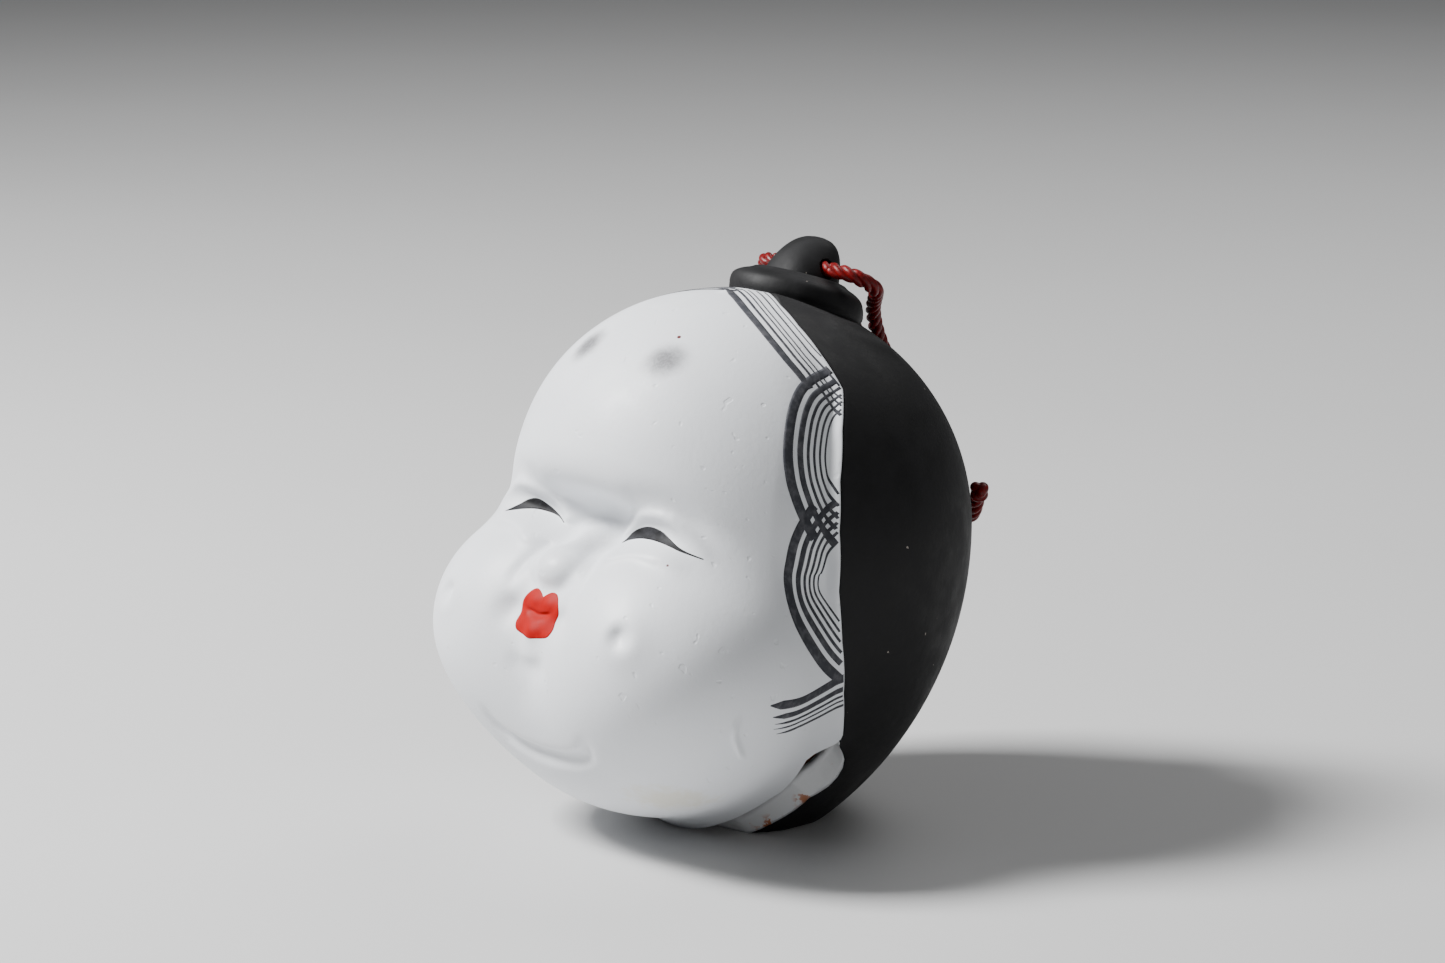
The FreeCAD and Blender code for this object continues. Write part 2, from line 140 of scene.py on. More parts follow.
def directions(psi, s):
    """Unit vectors at angle s from straight ahead, turned by psi about that line from the top."""
    return np.stack([np.sin(s) * np.sin(psi), -np.cos(s), np.sin(s) * np.cos(psi)], axis=-1)


def cast(ray, distance):
    """How far each ray from the head's middle runs before it leaves the solid."""
    low = np.full(ray.shape[:-1], 8.0)
    high = np.full(ray.shape[:-1], 52.0)
    for _ in range(22):
        middle = (low + high) / 2.0
        inside = distance(ray * middle[..., None]) < 0.0
        low = np.where(inside, middle, low)
        high = np.where(inside, high, middle)
    reach = (low + high) / 2.0
    floor = np.where(ray[..., 2] < -0.05, FLOOR / np.minimum(ray[..., 2], -0.05), 1e9)
    return np.minimum(reach, floor)


# The hairline, as distances behind the head's middle against the angle from the crown. Most rows
# were worked out outside this script and weren't chosen by hand; so were SLIT_EDGE and RIM_EDGE.
HAIRLINE = [
    (0, 3.5),
    (6, 2.2),
    (15, -0.4),
    (25, -1.9),
    (35, -2.4),
    (46, -2.5),
    (56, -5.4),
    (68, -7.9),
    (80, -9.2),
    (95, -9.5),
    (108, -8.8),
    (121, -7.2),
    (133, -4.6),
    (180, -4.3),
]


def hairline_back(psi):
    """How far behind the middle the hairline lies at angle psi from the crown."""
    turn = np.degrees(np.abs(psi))
    knots = np.array(HAIRLINE, float)
    return np.interp(turn, knots[:, 0], knots[:, 1])


# ---------------------------------------------------------------- meshes


def unit(p):
    """The points' directions from the head's middle."""
    return p / np.linalg.norm(p, axis=-1, keepdims=True)


def on_skin(points):
    """Guide points moved along their own rays onto the plain face."""
    ray = unit(np.array(points, float))
    return ray * cast(ray, face_distance)[..., None]


def smooth_line(points, count):
    """A smooth curve through the points, sampled evenly along its length."""
    knots = np.array(points, float)
    ends = np.vstack([2 * knots[0] - knots[1], knots, 2 * knots[-1] - knots[-2]])
    samples = []
    for i in range(1, len(ends) - 2):
        t = np.linspace(0.0, 1.0, 24, endpoint=False)[:, None]
        a, b, c, d = ends[i - 1 : i + 3]
        samples.append(
            0.5 * (2 * b + (c - a) * t + (2 * a - 5 * b + 4 * c - d) * t**2)
            + 0.5 * (3 * b - a - 3 * c + d) * t**3
        )
    dense = np.vstack(samples + [knots[-1:]])
    run = np.concatenate([[0.0], np.cumsum(np.linalg.norm(np.diff(dense, axis=0), axis=1))])
    at = np.linspace(0.0, run[-1], count)
    return np.stack([np.interp(at, run, dense[:, k]) for k in range(3)], axis=-1)


def line_distance(p, line):
    """How far each point is from a line of points, and how far along it the nearest place is."""
    nearest = np.full(p.shape[:-1], 1e9)
    along = np.zeros(p.shape[:-1])
    for i in range(len(line) - 1):
        a, step = line[i], line[i + 1] - line[i]
        t = np.clip(((p - a) @ step) / (step @ step), 0.0, 1.0)
        gap = np.linalg.norm(p - a - t[..., None] * step, axis=-1)
        along = np.where(gap < nearest, (i + t) / (len(line) - 1), along)
        nearest = np.minimum(nearest, gap)
    return nearest, along


# Soft ridges and creases modelled in the clay: guide points, half width, height, both sides.
RIDGES = [
    # Lower lids, which puff out under the eyes.
    ([
        (7.0, -25, 1.3), (9.2, -25, 2.0), (12.0, -25, 2.3), (15.2, -25, 2.0), (18.6, -24, 0.6),
    ], 1.7, 1.2, True),
    # Upper lids, and the hollows above them.
    ([
        (6.0, -25, 3.6), (8.0, -25, 5.4), (10.8, -25, 6.4), (13.8, -24, 6.2), (16.6, -23, 4.6),
        (20.6, -22, 1.2),
    ], 1.0, 0.85, True),
    ([(9.4, -25, 8.2), (13.4, -24, 8.2), (17.0, -23, 6.4), (21.4, -21, 2.4)], 1.8, -0.4, True),
    # Creases from the nose's wings past the mouth, and on round the chin.
    ([(5.6, -30, 0.6), (6.2, -32, -2.0), (5.6, -33, -4.6)], 0.9, -0.6, True),
    # The line between the lips, and the hollow above the chin.
    ([
        (-2.8, -34, -6.1), (-1.4, -34, -6.5), (0.0, -34, -6.7), (1.4, -34, -6.5), (2.8, -34, -6.1),
    ], 0.4, -0.45, False),
    ([(-4.4, -35, -12.0), (0.0, -35, -13.0), (4.4, -35, -12.0)], 1.5, -0.35, False),
    # A run in the slip on the face's left cheek.
    ([
        (28.2, -25.4, -15.4), (27.9, -25.6, -16.5), (27.0, -25.4, -18.8), (26.0, -23.2, -22.1),
        (25.2, -22.6, -22.4),
    ], 0.3, 0.6, False),
    # The double chin's fold.
    ([(0.0, -33, -25.0), (5.0, -33, -24.5), (8.4, -33, -22.6), (10.0, -34, -18.6)], 1.1, -1.0, True),
]

# Round dents and bumps: centre, radius, height.
DENTS = [
    ((16.7, -35.2, -6.4), 1.5, -1.35),
    ((-16.7, -35.2, -6.4), 1.5, -1.35),
    ((16.7, -35.2, -6.4), 3.1, 0.85),
    ((-16.7, -35.2, -6.4), 3.1, 0.85),
    ((4.7, -34.2, -6.6), 2.0, -1.3),
    ((-4.7, -34.2, -6.6), 2.0, -1.3),
    ((0.0, -34.6, -10.8), 2.0, 0.7),
    ((0.0, -34.2, -8.1), 1.7, 1.2),
    ((1.4, -33.6, -5.1), 1.3, 0.5),
    ((-1.4, -33.6, -5.1), 1.3, 0.5),
    ((1.3, -3.6, 31.2), 0.7, 0.3),
]


def clay_relief(p):
    """The height of the lids, creases, dimples and lips over the plain face."""
    height = np.zeros(p.shape[:-1])
    mirrored = one_side(p)
    for points, width, rise, both in RIDGES:
        gap, along = line_distance(mirrored if both else p, on_skin(smooth_line(points, 14)))
        fade = ease((1.0 - along) / 0.5) if both else ease(along / 0.3) * ease((1.0 - along) / 0.3)
        height += rise * np.exp(-((gap / width) ** 2)) * np.maximum(fade, 0.0)
    for centre, radius, rise in DENTS:
        gap = np.linalg.norm(p - on_skin([centre])[0], axis=-1)
        height += rise * np.exp(-((gap / radius) ** 2))
    return height


# The face's rear edge along the sound slit, against the angle from the crown.
SLIT_EDGE = [
    (134.4, -4.6),
    (135.4, -5.0),
    (136.1, -6.6),
    (136.7, -8.3),
    (138.0, -9.4),
    (144.0, -9.1),
    (149.0, -9.2),
    (152.0, -10.0),
    (158.0, -10.7),
    (166.0, -11.3),
    (180.0, -11.4),
]

# The hair half's front edge along the slit: round at the ends, then nearly straight.
RIM_EDGE = [
    (134.4, -4.6),
    (136.0, -4.4),
    (137.2, -3.8),
    (138.6, -3.0),
    (140.4, -2.2),
    (143.0, -1.6),
    (145.7, -1.5),
    (148.5, -2.0),
    (150.6, -3.1),
    (151.8, -3.9),
    (153.5, -4.1),
    (156.6, -4.7),
    (160.4, -5.7),
    (166.0, -7.0),
    (172.0, -7.7),
    (180.0, -7.9),
]

TURNS = np.radians(np.linspace(0.0, 360.0, 1441))


def edge_table(low_edge):
    """The angle s of the edge at each of TURNS, with low_edge taking over along the slit."""
    turn = np.degrees(np.minimum(TURNS, 2 * math.pi - TURNS))
    knots = np.array(low_edge, float)
    low = np.interp(turn, knots[:, 0], knots[:, 1])
    high = hairline_back(np.radians(turn))
    back = np.where(turn > knots[0, 0], low, high)
    s = np.full(TURNS.shape, math.pi / 2)
    for _ in range(10):
        reach = cast(directions(TURNS, s), face_distance)
        s = np.arccos(np.clip(-back / reach, -0.95, 0.95))
    return s


FACE_EDGE = edge_table(SLIT_EDGE)
HAIR_EDGE = edge_table(RIM_EDGE)


def edge_of(table, psi):
    """The edge's angle s at psi."""
    return np.interp(np.mod(psi, 2 * math.pi), TURNS, table)


def valley_depth(psi):
    """How deep the valley beside the hairline is at psi, in millimetres."""
    turn = np.degrees(np.minimum(np.mod(psi, 2 * math.pi), 2 * math.pi - np.mod(psi, 2 * math.pi)))
    return np.interp(turn, [0, 30, 55, 72, 95, 108, 120, 136], [0.05, 0.15, 0.8, 1.3, 1.3, 0.5, 0.15, 0.0])


def face_reach(ray):
    """How far the finished face's surface is from the head's middle along each ray."""
    reach = cast(ray, face_distance)
    psi = np.arctan2(ray[..., 0], ray[..., 2])
    s = np.arccos(np.clip(-ray[..., 1], -1.0, 1.0))
    gap = np.maximum((edge_of(FACE_EDGE, psi) - s) * reach, 0.0)
    valley = ease(gap / HAIR_STEP_WIDTH) * (1.0 - ease((gap - HAIR_STEP_WIDTH) / 8.0))
    relief = clay_relief(ray * reach[..., None])
    lip = 0.35 * (1.0 - np.sqrt(1.0 - (1.0 - np.clip(gap / 0.35, 0.0, 1.0)) ** 2))
    slit = ease((np.abs(np.degrees(psi)) - 134.0) / 2.5)
    return reach - valley_depth(psi) * valley + relief - lip * slit


def turn_grid(count):
    """Angles about the face's axis, closer together at the slit's corners."""
    at = np.linspace(0.0, 360.0, 7201)
    corner = np.minimum(np.abs(at - 136.5), np.abs(at - 223.5))
    weight = 1.0 + 5.0 * np.exp(-((corner / 4.0) ** 2))
    run = np.concatenate([[0.0], np.cumsum((weight[1:] + weight[:-1]) / 2.0)])
    return np.radians(np.interp(np.linspace(0.0, run[-1], count, endpoint=False), run, at))


def make_object(name, points, faces, smooth=True):
    """A mesh object from points in millimetres about the head's middle."""
    mesh = bpy.data.meshes.new(name)
    placed = (np.asarray(points, float).reshape(-1, 3) + HEAD_CENTRE) * MM
    mesh.from_pydata(placed.tolist(), [], [list(f) for f in faces])
    mesh.update()
    if smooth:
        mesh.shade_smooth()
    obj = bpy.data.objects.new(name, mesh)
    bpy.context.scene.collection.objects.link(obj)
    return obj


def fix_normals(obj):
    """Turns every face of a closed mesh outward."""
    work = bmesh.new()
    work.from_mesh(obj.data)
    bmesh.ops.recalc_face_normals(work, faces=work.faces)
    work.to_mesh(obj.data)
    work.free()


def ring_faces(first, second, count, flip=False):
    """Quads between two closed rings of count points that start at these indices."""
    quads = []
    for i in range(count):
        j = (i + 1) % count
        quad = [first + i, first + j, second + j, second + i]
        quads.append(quad[::-1] if flip else quad)
    return quads


def shell(name, psi, rings, first_pole, last_pole, rim_slot):
    """A closed shell from rings of points that run from one pole to the other.

    The faces past ring rim_slot take the second material.
    """
    count = len(psi)
    points = np.vstack([first_pole[None]] + rings + [last_pole[None]])
    faces = [[0, 1 + (i + 1) % count, 1 + i] for i in range(count)]
    slots = [0] * count
    for k in range(len(rings) - 1):
        faces += ring_faces(1 + k * count, 1 + (k + 1) * count, count)
        slots += [0 if k < rim_slot else 1] * count
    last = 1 + (len(rings) - 1) * count
    tip = last + count
    faces += [[last + i, last + (i + 1) % count, tip] for i in range(count)]
    slots += [1] * count
    obj = make_object(name, points, faces)
    obj.data.polygons.foreach_set("material_index", slots)
    fix_normals(obj)
    return obj


def face_piece():
    """The face half: a thin pressed shell with the modelled face outside and bare clay inside."""
    psi = turn_grid(620)
    edge = edge_of(FACE_EDGE, psi)
    steps = np.concatenate([np.linspace(0.0, 0.90, 150)[1:], np.linspace(0.90, 1.0, 46)[1:]])
    rings = []
    for step in steps:
        ray = directions(psi, edge * step)
        rings.append(ray * face_reach(ray)[..., None])
    outer = len(rings)
    for step in np.linspace(1.0, 0.0, 24)[:-1]:
        ray = directions(psi, edge * step)
        inner = cast(ray, face_distance) - WALL
        rings.append(ray * np.minimum(inner, 28.0 + 6.0 * step)[..., None])
    front = np.array([0.0, -1.0, 0.0])
    outside = front * face_reach(front[None])[0]
    inside = front * 28.0
    return shell("painted_face", psi, rings, outside, inside, outer)


# Folds of hair pressed in the clay round the topknot: guide points, half width, height.
FOLDS = [
    ([
        (0.0, 0.6, 30.4), (3.0, 0.2, 30.3), (6.0, 1.2, 29.9), (11.2, 6.0, 27.0),
        (11.6, 13.0, 24.6),
    ], 1.5, 0.55),
    ([(12.4, 2.0, 27.2), (14.4, 8.0, 25.2), (13.6, 15.0, 22.4)], 1.8, 0.35),
    ([(-12.4, 2.0, 27.2), (-14.4, 8.0, 25.2), (-13.6, 15.0, 22.4)], 1.8, 0.35),
    ([(-8.0, 21.0, 19.5), (0.0, 22.5, 18.8), (8.0, 21.0, 19.5)], 1.6, 0.3),
]


def hair_reach(ray):
    """How far the hair's surface is from the head's middle along each ray."""
    reach = cast(ray, face_distance)
    p = ray * reach[..., None]
    for points, width, rise in FOLDS:
        gap, along = line_distance(p, on_skin(smooth_line(points, 12)))
        reach = reach + rise * np.exp(-((gap / width) ** 2)) * ease(along / 0.2) * ease((1.0 - along) / 0.2)
    return reach


def hair_piece():
    """The hair half: the plain bowl behind the hairline, hollow like the face."""
    psi = turn_grid(420)
    edge = edge_of(HAIR_EDGE, psi)
    steps = np.concatenate([np.linspace(0.0, 0.04, 7), np.linspace(0.04, 1.0, 110)[1:-1]])
    rings = []
    for step in steps:
        ray = directions(psi, edge + (math.pi - edge) * step)
        reach = hair_reach(ray)
        gap = (math.pi - edge) * step * reach
        soften = 0.12 * (1.0 - np.clip(gap / 0.25, 0.0, 1.0)) ** 2
        rings.append(ray * (reach - soften)[..., None])
    rings = rings[::-1]
    outer = len(rings)
    for step in np.linspace(0.0, 1.0, 22)[:-1]:
        ray = directions(psi, edge + (math.pi - edge) * step)
        rings.append(ray * (cast(ray, face_distance) - WALL)[..., None])
    back = np.array([0.0, 1.0, 0.0])
    outside = back * hair_reach(back[None])[0]
    inside = back * (cast(back[None], face_distance)[0] - WALL)
    return shell("hair_bowl", psi, rings, outside, inside, outer + 1)


def rim_piece():
    """The white rim of the hair half along the slit, scooped into a groove at each end."""
    turn = np.concatenate([np.linspace(135.2, 152.0, 90), np.linspace(152.0, 180.0, 60)[1:]])
    turn = np.concatenate([turn, 360.0 - turn[::-1][1:]])
    psi = np.radians(turn)
    side = np.minimum(turn, 360.0 - turn)
    ray = directions(psi, edge_of(HAIR_EDGE, psi))
    edge = ray * (cast(ray, face_distance) + 0.06)[..., None]
    at = [135.2, 137, 141, 146, 149, 151.6, 156, 166, 180]
    ahead = np.interp(side, at, [0.1, 0.2, 0.6, 1.1, 1.8, 2.3, 2.2, 1.4, 1.2])
    deep = np.interp(side, at, [0.5, 1.4, 2.6, 2.9, 2.6, 2.4, 2.3, 1.8, 1.6])
    sag = np.interp(side, [135.2, 138, 143, 150.0, 151.2, 180], [0.05, 0.4, 0.8, 0.8, 0.1, 0.1])
    inward = -ray * deep[:, None]
    forward = np.array([0.0, -1.0, 0.0]) * ahead[:, None]
    rows = []
    for t in np.linspace(0.0, 1.0, 9):
        dip = ray * (sag * 4.0 * t * (1.0 - t))[:, None]
        rows.append(edge + (inward + forward) * t - dip)
    rows.append(rows[-1] - ray * 1.2)
    rows.append(edge - ray * 3.2)
    rows.append(edge - ray * 0.4)
    points = np.stack(rows, axis=1)
    length, width = points.shape[:2]
    faces = []
    for i in range(length - 1):
        for k in range(width):
            n = (k + 1) % width
            faces.append([i * width + k, i * width + n, (i + 1) * width + n, (i + 1) * width + k])
    faces.append(list(range(width)))
    faces.append([(length - 1) * width + k for k in range(width)][::-1])
    obj = make_object("slit_rim", points, faces)
    fix_normals(obj)
    return obj


# ---------------------------------------------------------------- topknot and pellet

KNOT_AXIS = np.array([0.0, math.sin(KNOT_TILT), math.cos(KNOT_TILT)])
KNOT_BACK = np.array([0.0, math.cos(KNOT_TILT), -math.sin(KNOT_TILT)])

# Half profiles of the topknot's two tiers: radius, and height over the seat.
ROLL_PROFILE = [
    (4.0, -4.2), (10.4, -4.1), (10.5, -3.2), (10.1, -2.3), (9.6, -1.5), (9.2, -0.7), (9.0, 0.3),
    (8.95, 1.2), (8.6, 2.2), (7.7, 2.9), (6.6, 3.35), (5.6, 3.8), (3.0, 3.6),
]
BUN_PROFILE = [
    (3.4, 2.6), (4.9, 2.8), (5.1, 3.4), (4.95, 4.3), (4.6, 5.4), (4.1, 6.5),
    (3.5, 7.5), (2.75, 8.4), (1.8, 9.05), (0.7, 9.35),
]
BUN_LEAN = 1.5


def lathe(name, profile, count, shape, lean=0.0):
    """A closed turned form on the topknot's axis; shape(radius, height, angle) varies its radius.

    Its tip leans back by lean.
    """
    knots = np.column_stack([np.array(profile, float), np.zeros(len(profile))])
    line = smooth_line(knots, 4 * len(profile))
    angle = np.linspace(0.0, 2 * math.pi, count, endpoint=False)
    rings = []
    rise = line[-1, 1] - line[0, 1]
    for radius, height, _ in line:
        spread = shape(radius, height, angle)
        shift = KNOT_BACK * lean * ((height - line[0, 1]) / rise) ** 1.3
        out = np.cos(angle)[:, None] * np.array([1.0, 0, 0]) + np.sin(angle)[:, None] * KNOT_BACK
        rings.append(spread[:, None] * out + (KNOT_SEAT + height) * KNOT_AXIS + shift)
    base = KNOT_AXIS * (KNOT_SEAT + line[0, 1])
    tip = KNOT_AXIS * (KNOT_SEAT + line[-1, 1] + 0.02) + KNOT_BACK * lean
    return shell(name, angle, rings, base, tip, len(rings) + 1)


def roll_shape(radius, height, angle):
    """The lower tier: a soft coil of hair whose turns wind slowly upward."""
    wind = np.sin(angle - 0.9 * height) * 0.14 + 0.1 * np.sin(3 * angle + 0.8 * height)
    groove = np.exp(-(((height + 0.7 - 0.5 * np.sin(angle + 2.2)) / 0.5) ** 2))
    return radius * (1.0 + 0.012 * np.sin(2 * angle)) + wind - 0.4 * groove


def bun_shape(radius, height, angle):
    """The upper tier: a cone of hair with a slight twist."""
    return radius * (1.0 + 0.02 * np.sin(2 * angle + 0.7 * height) + 0.012 * np.sin(5 * angle))


def drill(obj, centre, radius, reach):
    """Bores the cord's hole through the topknot from side to side."""
    angle = np.linspace(0.0, 2 * math.pi, 40, endpoint=False)
    ring = np.column_stack([np.zeros(40), radius * np.cos(angle), radius * np.sin(angle)])
    ends = [ring + centre + [x, 0, 0] for x in (-reach, reach)]
    faces = ring_faces(0, 40, 40) + [list(range(40))[::-1], list(range(40, 80))]
    tool = make_object("hole_tool", np.vstack(ends), faces, smooth=False)
    fix_normals(tool)
    cut = obj.modifiers.new("cord_hole", "BOOLEAN")
    cut.object = tool
    cut.solver = "EXACT"
    bpy.context.view_layer.update()
    shape = bpy.data.meshes.new_from_object(obj.evaluated_get(bpy.context.evaluated_depsgraph_get()))
    obj.modifiers.clear()
    obj.data = shape
    bpy.data.objects.remove(tool)


CORD_HOLE = np.array([0.0, 11.395, 33.093])


def topknot_pieces():
    """The two tiers of the topknot, the upper one bored for the cord."""
    roll = lathe("topknot_coil", ROLL_PROFILE, 128, roll_shape)
    bun = lathe("topknot_cone", BUN_PROFILE, 128, bun_shape, BUN_LEAN)
    drill(bun, CORD_HOLE, 1.3, 8.0)
    return roll, bun


def pellet_piece():
    """The rattle pellet: a ball of clay rolled by hand, a little uneven."""
    low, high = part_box("rattle_pellet")
    centre = np.array((low + high) / 2) / MM - HEAD_CENTRE
    radius = (high - low).x / 2 / MM
    psi = np.linspace(0.0, 2 * math.pi, 64, endpoint=False)
    rings = []
    for s in np.linspace(0.0, math.pi, 34)[1:-1]:
        ray = directions(psi, np.full(psi.shape, s))
        uneven = 0.09 * np.sin(3 * ray[:, 0] + 1.0) * np.cos(4 * ray[:, 2]) + 0.05 * np.sin(9 * ray[:, 1])
        rings.append(centre + ray * (radius - 0.15 + uneven)[:, None])
    poles = [centre + np.array([0.0, y * (radius - 0.12), 0.0]) for y in (-1, 1)]
    return shell("clay_pellet", psi, rings, poles[0], poles[1], len(rings) + 1)


# ---------------------------------------------------------------- cord

# The cord's route from the topknot's hole to the knot and on to each cut end.
STRAND = [
    (5.2, 11.395, 33.093),
    (8.8, 11.395, 33.093),
    (9.6, 15.4, 30.8),
    (6.6, 18.2, 29.2),
    (3.4, 20.6, 26.6),
    (1.6, 23.6, 22.0),
    (1.4, 27.0, 16.8),
    (1.3, 30.4, 11.2),
    (1.2, 32.6, 7.0),
]
LEFT_TAIL = [
    (1.2, 33.9, 3.4),
    (3.4, 34.2, 0.4),
    (7.4, 32.8, -1.8),
    (11.8, 30.6, -1.8),
    (15.2, 28.6, -0.2),
    (17.2, 27.0, 2.6),
]
RIGHT_TAIL = [
    (-1.2, 33.9, 3.2),
    (-2.6, 34.2, -1.0),
    (-4.2, 33.6, -5.6),
    (-4.8, 32.6, -10.4),
    (-4.2, 31.6, -15.0),
]
PLY_OFFSET = 0.5
PLY_RADIUS = 0.55
TWIST_LENGTH = 5.2


def route_line(points, name):
    """The smooth line of one NURBS spline through the route's points, in the row frame, metres."""
    curve = bpy.data.curves.new(name, "CURVE")
    curve.dimensions = "3D"
    curve.resolution_u = 16
    spline = curve.splines.new("NURBS")
    spline.points.add(len(points) - 1)
    for place, point in zip(spline.points, points):
        place.co = [*((np.array(point) + HEAD_CENTRE) * MM), 1.0]
    spline.order_u = 3
    spline.use_endpoint_u = True
    obj = bpy.data.objects.new(name, curve)
    bpy.context.scene.collection.objects.link(obj)
    bpy.context.view_layer.update()
    mesh = bpy.data.meshes.new_from_object(obj)
    line = np.array([v.co for v in mesh.vertices], float)
    bpy.data.objects.remove(obj)
    bpy.data.meshes.remove(mesh)
    return line


def tube(line, radius, sides):
    """Points and faces of a closed tube with rounded ends along a line of points."""
    step = np.gradient(line, axis=0)
    step /= np.linalg.norm(step, axis=1, keepdims=True)
    side = np.cross(step[0], [0.0, 0.0, 1.0])
    if np.linalg.norm(side) < 0.2:
        side = np.cross(step[0], [0.0, 1.0, 0.0])
    rings = []
    angle = np.linspace(0.0, 2 * math.pi, sides, endpoint=False)
    for i, at in enumerate(line):
        side = side - step[i] * (side @ step[i])
        side /= np.linalg.norm(side)
        other = np.cross(step[i], side)
        reach = radius * (0.72 if i in (0, len(line) - 1) else 1.0)
        rings.append(at + reach * (np.cos(angle)[:, None] * side + np.sin(angle)[:, None] * other))
    points = np.vstack([line[:1] - step[0] * radius * 0.3, *rings, line[-1:] + step[-1] * radius * 0.3])
    faces = [[0, 1 + (i + 1) % sides, 1 + i] for i in range(sides)]
    for k in range(len(line) - 1):
        faces += ring_faces(1 + k * sides, 1 + (k + 1) * sides, sides)
    last = 1 + (len(line) - 1) * sides
    faces += [[last + i, last + (i + 1) % sides, last + sides] for i in range(sides)]
    return points, faces


def resample(line, spacing):
    """The line with points at even spacing."""
    run = np.concatenate([[0.0], np.cumsum(np.linalg.norm(np.diff(line, axis=0), axis=1))])
    at = np.linspace(0.0, run[-1], max(int(run[-1] / spacing), 4))
    return np.stack([np.interp(at, run, line[:, k]) for k in range(3)], axis=-1), at


def twisted(name, line):
    """Three plies twisted round a line, in millimetres about the head's middle."""
    middle, run = resample(line, 0.22)
    step = np.gradient(middle, axis=0)
    step /= np.linalg.norm(step, axis=1, keepdims=True)
    side = np.cross(step[0], [0.1, 0.3, 1.0])
    frames = []
    for i in range(len(middle)):
        side = side - step[i] * (side @ step[i])
        side /= np.linalg.norm(side)
        frames.append((side.copy(), np.cross(step[i], side)))
    points, faces = [], []
    for ply in range(3):
        phase = 2 * math.pi * (run / TWIST_LENGTH + ply / 3.0)
        strand = np.array(
            [
                at + PLY_OFFSET * (math.cos(a) * across[0] + math.sin(a) * across[1])
                for at, a, across in zip(middle, phase, frames)
            ]
        )
        ring_points, ring_quads = tube(strand, PLY_RADIUS, 12)
        base = sum(len(p) for p in points)
        points.append(ring_points)
        faces += [[base + i for i in face] for face in ring_quads]
    obj = make_object(name, np.vstack(points), faces)
    fix_normals(obj)
    return obj


def overhand(name, centre, size, spread, radius):
    """A small tight knot: one tube wound three times over and under itself."""
    t = np.linspace(0.0, 2 * math.pi, 150)
    loop = np.stack(
        [np.sin(t) + 2 * np.sin(2 * t), -np.sin(3 * t), np.cos(t) - 2 * np.cos(2 * t)], axis=-1
    )
    line = np.array(centre) + loop * size * np.array(spread)
    points, faces = tube(line, radius, 14)
    obj = make_object(name, points, faces)
    fix_normals(obj)
    return obj


# The hole's middle, half the core's length, and the middles of the three knots.
HOLE_BACK = 11.395
HOLE_UP = 33.093
CORE_REACH = 5.4
KNOT_CENTRE = (0.0, 33.5, 5.0)
END_CENTRES = {"left": (18.2, 26.3, 3.4), "right": (-4.0, 31.4, -16.0)}


def cord_pieces():
    """The cord: its core in the topknot, two strands with their tails, the knot and end knots."""
    mirror = np.array([-1.0, 1.0, 1.0])
    routes = {
        "left": [*STRAND, *LEFT_TAIL],
        "right": [*(np.array(STRAND) * mirror).tolist(), *RIGHT_TAIL],
    }
    core_ends = np.array([[-CORE_REACH, HOLE_BACK, HOLE_UP], [CORE_REACH, HOLE_BACK, HOLE_UP]])
    core = twisted("cord_core", core_ends)
    knot = overhand("cord_knot_tied", KNOT_CENTRE, 0.62, (1.15, 1.6, 0.9), 1.15)
    ends = {
        side: overhand("cord_end_tied_" + side, centre, 0.26, (1.0, 1.3, 1.0), 0.72)
        for side, centre in END_CENTRES.items()
    }
    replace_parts(core, "cord_in_bun")
    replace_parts(knot, "cord_knot")
    made = [core, knot, *ends.values()]
    for side, points in routes.items():
        line = route_line(points, "route_" + side)
        cord = twisted("cord_" + side, line / MM - HEAD_CENTRE)
        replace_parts(cord, "cord_strand_" + side, "cord_tail_" + side)
        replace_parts(ends[side], "cord_end_" + side)
        made.append(cord)
    return made


# ---------------------------------------------------------------- paint

PAINT_LIFT = 0.03
PAINT_DEPTH = 0.18


def paint_sheet(name, guides):
    """A thin closed layer of paint on the face under a grid of guide points."""
    ray = unit(np.asarray(guides, float))
    reach = face_reach(ray)
    rows, width = reach.shape
    lift = np.full(reach.shape, PAINT_LIFT)
    lift[:, 0] = lift[:, -1] = lift[0] = lift[-1] = 0.006
    top = ray * (reach + lift)[..., None]
    bottom = ray * (reach - PAINT_DEPTH)[..., None]
    points = np.vstack([top.reshape(-1, 3), bottom.reshape(-1, 3)])
    under = rows * width
    faces = []
    for i in range(rows - 1):
        for k in range(width - 1):
            a = i * width + k
            quad = [a, a + 1, a + width + 1, a + width]
            faces.append(quad)
            faces.append([under + v for v in quad[::-1]])
    border = [k for k in range(width)]
    border += [i * width + width - 1 for i in range(1, rows)]
    border += [(rows - 1) * width + k for k in range(width - 2, -1, -1)]
    border += [i * width for i in range(rows - 2, 0, -1)]
    for a, b in zip(border, border[1:] + border[:1]):
        faces.append([b, a, under + a, under + b])
    obj = make_object(name, points, faces)
    fix_normals(obj)
    return obj


